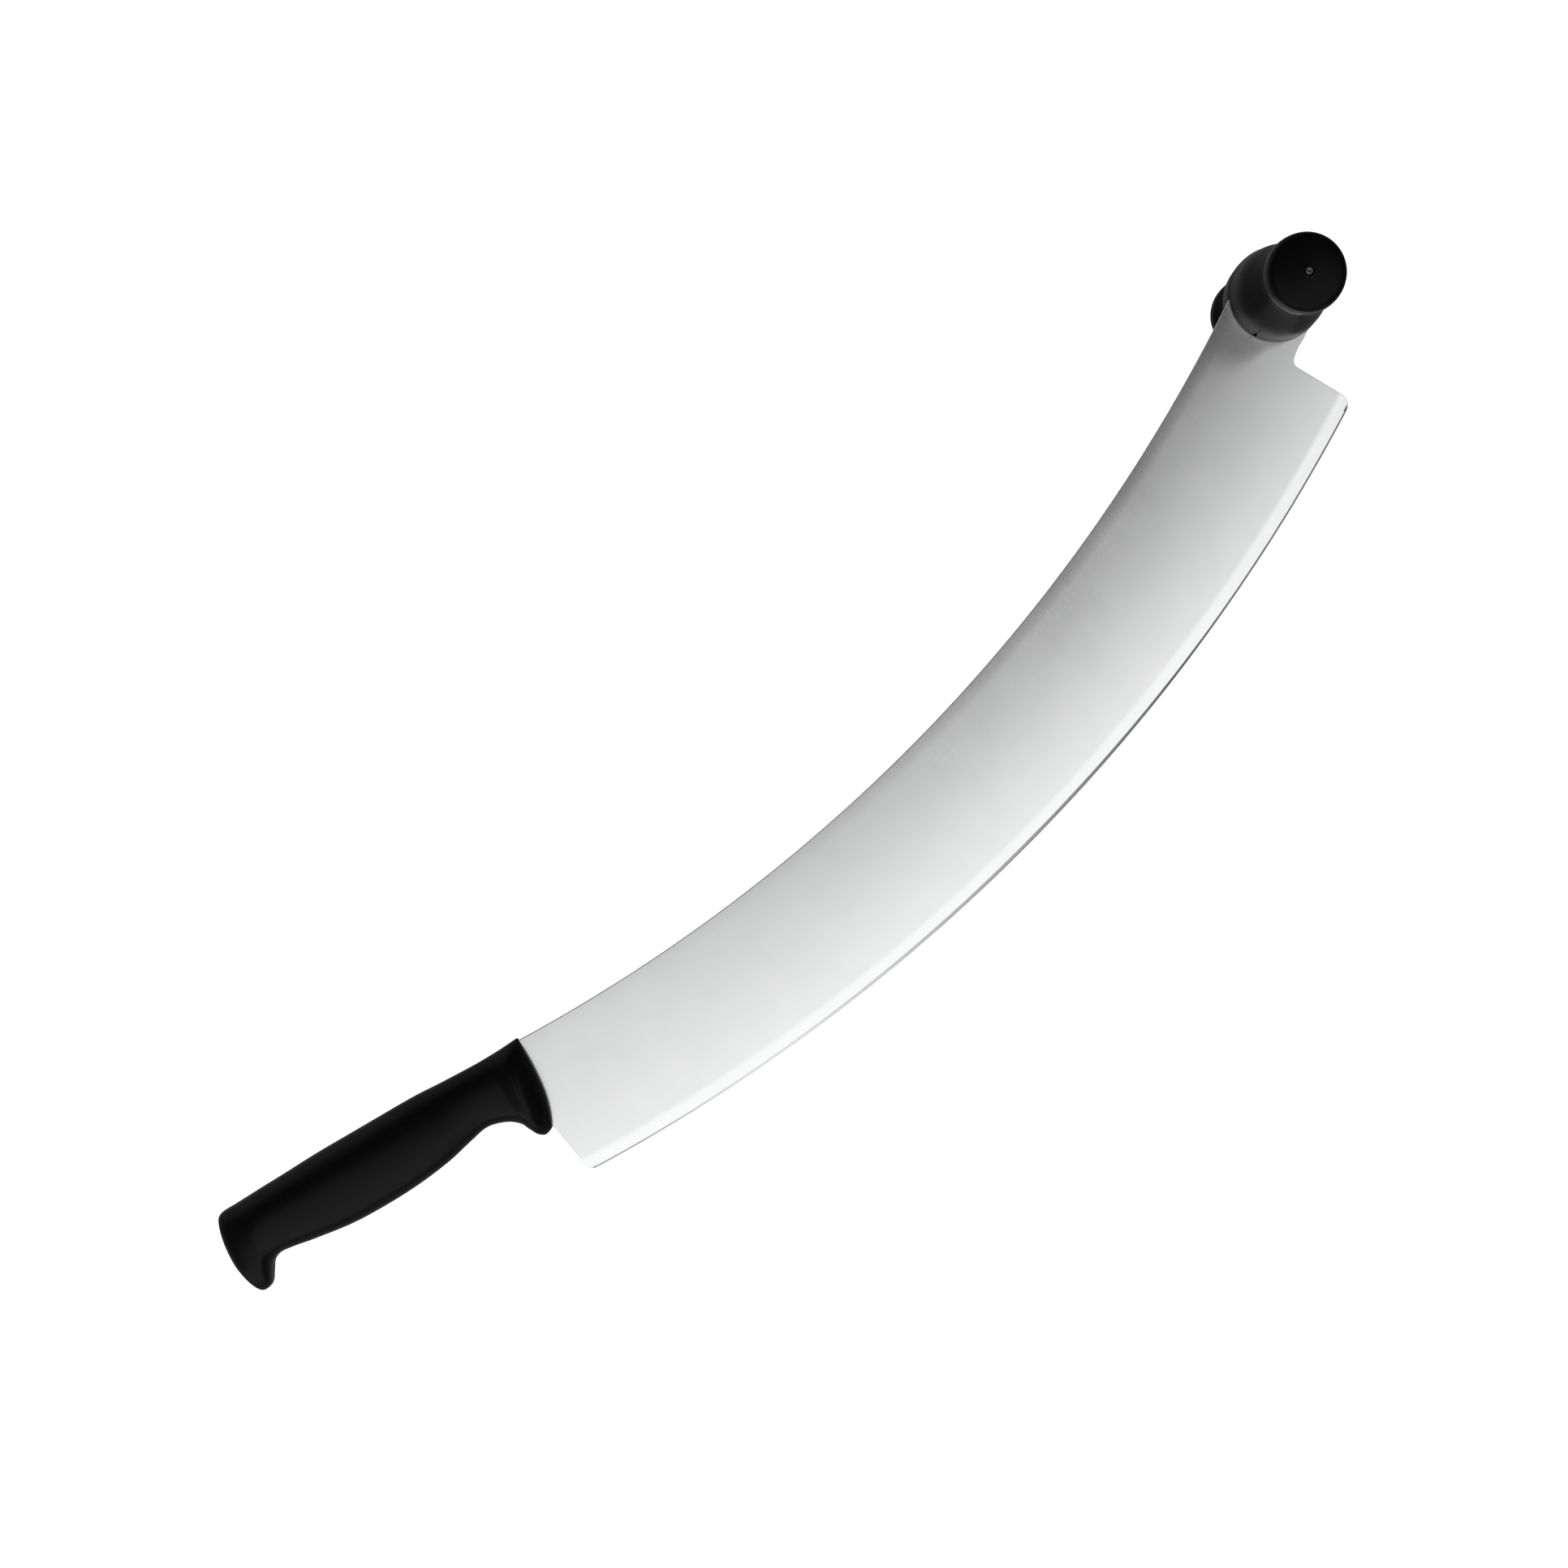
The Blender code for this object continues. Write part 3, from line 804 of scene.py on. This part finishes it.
GRIP_ANGLES = fine_angles(168)
grip_at = LIE @ Matrix.Translation(Vector((*GRIP_C, 0.0)) * MM)
side_curve = curve_through(GRIP_PROFILE, 4)
CLOSE = TIGHT                  # near half to blade

near_low = BLADE_T / 2 + CLOSE
near_profile = [(SINK_R - 0.35, GRIP_HALF - 0.95), (SINK_R, GRIP_HALF - 0.22), (SINK_R + 0.22, GRIP_HALF)] + side_curve
near_profile += [(FLANGE_R, near_low + 1.3), (FLANGE_R - 0.05, near_low + 0.75), (FLANGE_R - 0.22, near_low + 0.35),
                 (FLANGE_R - 0.55, near_low + 0.1), (FLANGE_R - 0.9, near_low), (10.0, near_low),
                 (RIVET_R + TIGHT, near_low), (RIVET_R + TIGHT, GRIP_HALF - 1.2)]
grip_near = revolve("grip_near_visible", near_profile, GRIP_ANGLES, seam_groove)
settle(grip_near, grip_at)
smooth(grip_near, 38.0)
grip_near.data.materials.append(GRIP_BLACK_NEAR)

far_high = BLADE_T / 2
far_profile = [(RIVET_R + TIGHT, far_high), (10.0, far_high), (FLANGE_R - 0.5, far_high), (FLANGE_R - 0.15, far_high - 0.12),
               (FLANGE_R, far_high - 0.45)]
far_profile += [(r, -z) for r, z in reversed(side_curve)]
far_profile += [(SINK_R + 0.22, -GRIP_HALF), (SINK_R, -GRIP_HALF + 0.22), (SINK_R - 0.35, -GRIP_HALF + 0.95),
                (RIVET_R + TIGHT, -GRIP_HALF + 1.2)]
grip_far = revolve("grip_far_visible", far_profile, GRIP_ANGLES, seam_groove)
settle(grip_far, grip_at)
applied(grip_far, room)
tidy(grip_far)
smooth(grip_far, 38.0)
grip_far.data.materials.clear()
grip_far.data.materials.append(GRIP_BLACK_FAR)
remove(room)

top = GRIP_HALF - 0.2
rivet_profile = [(0.0, top - 0.34), (0.22, top - 0.33), (0.42, top - 0.26), (0.55, top - 0.1), (0.66, top - 0.01),
                 (0.85, top + 0.02), (1.25, top), (RIVET_HEAD_R - 0.12, top - 0.08), (RIVET_HEAD_R, top - 0.25),
                 (RIVET_HEAD_R - 0.02, top - 0.5), (RIVET_R, top - 0.85)]
rivet_profile += [(r, -z) for r, z in reversed(rivet_profile)]


def rod(name, profile, steps):
    verts = [(0.0, 0.0, profile[0][1])]
    rings = []
    for r, z in profile[1:-1]:
        rings.append([len(verts) + i for i in range(steps)])
        verts += [(r * math.cos(2 * math.pi * i / steps), r * math.sin(2 * math.pi * i / steps), z) for i in range(steps)]
    verts.append((0.0, 0.0, profile[-1][1]))
    end = len(verts) - 1
    faces = [(0, rings[0][i], rings[0][(i + 1) % steps]) for i in range(steps)]
    for a, b in zip(rings, rings[1:]):
        faces += [(a[i], b[i], b[(i + 1) % steps], a[(i + 1) % steps]) for i in range(steps)]
    faces += [(end, rings[-1][(i + 1) % steps], rings[-1][i]) for i in range(steps)]
    return mesh_object(name, verts, faces)


rivet = rod("grip_rivet_visible", rivet_profile, 40)
settle(rivet, grip_at)
smooth(rivet, 45.0)
rivet.data.materials.append(ROD)

for piece, node, slot in ((blade, "blade", "blade_steel"), (handle, "rear_handle", "handle_plastic"),
                          (grip_near, "grip_near_half", "grip_near_plastic"),
                          (grip_far, "grip_far_half", "grip_far_plastic"),
                          (rivet, "grip_rivet", "rivet_steel")):
    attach(piece, "root")
    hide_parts(node)


# --------------------------------------------------------------------- stage
def floor_material():
    mat, g, shader = material("pale_floor")
    where = g.new("ShaderNodeTexCoord").outputs["Object"]
    g.put(shader.inputs["Base Color"], g.colour(g.noise(where, 3.0, 2.0), (
        (0.3, (0.69, 0.69, 0.69)), (0.7, (0.71, 0.71, 0.71)))))
    shader.inputs["Roughness"].default_value = 0.9
    shader.inputs["Specular IOR Level"].default_value = 0.1
    shader.inputs["Emission Color"].default_value = (1.0, 1.0, 1.0, 1.0)
    g.put(shader.inputs["Emission Strength"], g.math(
        "MULTIPLY", g.new("ShaderNodeLightPath").outputs["Is Camera Ray"], 1.0))
    return mat


bm = bmesh.new()
bmesh.ops.create_circle(bm, cap_ends=True, cap_tris=False, segments=96, radius=6.0)
floor_mesh = bpy.data.meshes.new("floor")
bm.to_mesh(floor_mesh)
bm.free()
floor = add(bpy.data.objects.new("floor", floor_mesh))
floor_mesh.materials.append(floor_material())

# ---------------------------------------------------------------- soft light
# One large soft light over the cutting-edge side of the knife. Its border is wide
# and bent and lies close to the camera, so that the blade's reflection fades from
# bright at the edge to grey at the spine; the horizon on the spine side is pale.
def studio(bright=1.45, reach=1.575, start=-1.256, by_edge=19.88, by_tip=-24.1, both=57.5, tip_sq=65.4,
           fill=0.03, horizon=0.4, around=0.3, turned_in=0.6):
    turn = LIE.to_3x3()
    world = bpy.data.worlds.new("studio")
    world.use_nodes = True
    tree = world.node_tree
    tree.nodes.clear()
    g = Graph(tree)
    way = g.new("ShaderNodeTexCoord").outputs["Generated"]
    up = g.dot(way, turn.col[2])
    side = g.dot(way, turn.col[1])
    along = g.dot(way, turn.col[0])
    safe = g.math("MAXIMUM", up, 0.04)
    edge_way = g.math("DIVIDE", g.math("MULTIPLY", side, -1.0), safe)
    tip_way = g.math("DIVIDE", along, safe)
    te = g.ramp(edge_way, -0.12, 0.3, -0.12, 0.3, "LINEAR")
    tt = g.ramp(tip_way, -0.18, 0.36, -0.18, 0.36, "LINEAR")
    inner = g.math("ADD", g.math("MULTIPLY", te, by_edge), start)
    inner = g.math("ADD", inner, g.math("MULTIPLY", tt, by_tip))
    inner = g.math("ADD", inner, g.math("MULTIPLY", g.math("MULTIPLY", te, tt), both))
    inner = g.math("ADD", inner, g.math("MULTIPLY", g.math("MULTIPLY", tt, tt), tip_sq))
    lit = g.math("MULTIPLY", g.math("ADD", g.math("TANH", g.math("MULTIPLY", inner, 1.2)), 1.0), 0.5)
    # its border on the spine side turns in far towards the handle
    aside = g.math("MULTIPLY", g.ramp(tip_way, -0.5, -0.22, 1.0, 0.0), turned_in)
    lit = g.math("MULTIPLY", lit, g.ramp(edge_way, g.math("ADD", g.math("MULTIPLY", aside, 0.3), -0.5),
                                         g.math("ADD", g.math("MULTIPLY", aside, 0.4), -0.2)))
    lit = g.math("MULTIPLY", lit, g.ramp(tip_way, 0.45, 0.85, 1.0, 0.0))
    level = g.ramp(edge_way, 0.07, 0.22, bright, reach)
    # towards the tip the light ends 40 degrees down, so the last bevel of the edge is dark there
    low = g.ramp(edge_way, 0.6, 0.95)
    behind = g.math("DIVIDE", along, g.math("MAXIMUM", g.math("MULTIPLY", side, -1.0), 0.05))
    cut = g.math("SUBTRACT", 1.0, g.math("MULTIPLY", g.math("MULTIPLY", low, g.ramp(behind, -0.15, 0.03)), 0.97))
    soft_box = g.math("MULTIPLY", g.math("MULTIPLY", lit, level), cut)
    rim = g.math("MULTIPLY", g.ramp(side, 0.72, 0.95), horizon)
    # a weak band low down all round but on the edge's side, for views from the other sides
    band = g.math("MULTIPLY", g.ramp(up, 0.15, 0.5, around, 0.0), g.ramp(side, -0.7, -0.3))
    total = g.math("ADD", g.math("ADD", g.math("ADD", soft_box, rim), band), fill)
    back = g.new("ShaderNodeBackground")
    back.inputs["Color"].default_value = (1.0, 1.0, 1.0, 1.0)
    g.put(back.inputs["Strength"], total)
    plain = g.new("ShaderNodeBackground")
    plain.inputs["Color"].default_value = (0.93, 0.93, 0.93, 1.0)
    plain.inputs["Strength"].default_value = 1.0
    mix = g.new("ShaderNodeMixShader")
    g.put(mix.inputs["Fac"], g.new("ShaderNodeLightPath").outputs["Is Camera Ray"])
    g.put(mix.inputs[1], back.outputs[0])
    g.put(mix.inputs[2], plain.outputs[0])
    g.put(g.new("ShaderNodeOutputWorld").inputs["Surface"], mix.outputs[0])
    return world


bpy.context.scene.world = studio()

# -------------------------------------------------------------------- camera
# 1 m from the middle of the blade and 2.6 degrees off square to it, towards the
# spine, with the knife rising at 45 degrees across the picture.
lean = math.radians(2.6)
back_way = Vector((0.0, math.sin(lean), math.cos(lean)))
across = Vector((0.0, math.cos(lean), -math.sin(lean)))
right_way = (Vector((1.0, 0.0, 0.0)) - across).normalized()
up_way = (Vector((1.0, 0.0, 0.0)) + across).normalized()
local = Matrix((right_way, up_way, back_way)).transposed().to_4x4()
local.translation = back_way * 1.0
data = bpy.data.cameras.new("camera")
data.sensor_width = 36.0
data.lens = 56.46
data.clip_start, data.clip_end = 0.05, 30.0
camera = add(bpy.data.objects.new("camera", data))
camera.matrix_world = LIE @ local
bpy.context.scene.camera = camera
bpy.context.scene.view_settings.view_transform = "Standard"
bpy.context.scene.view_settings.look = "None"

bpy.context.view_layer.update()
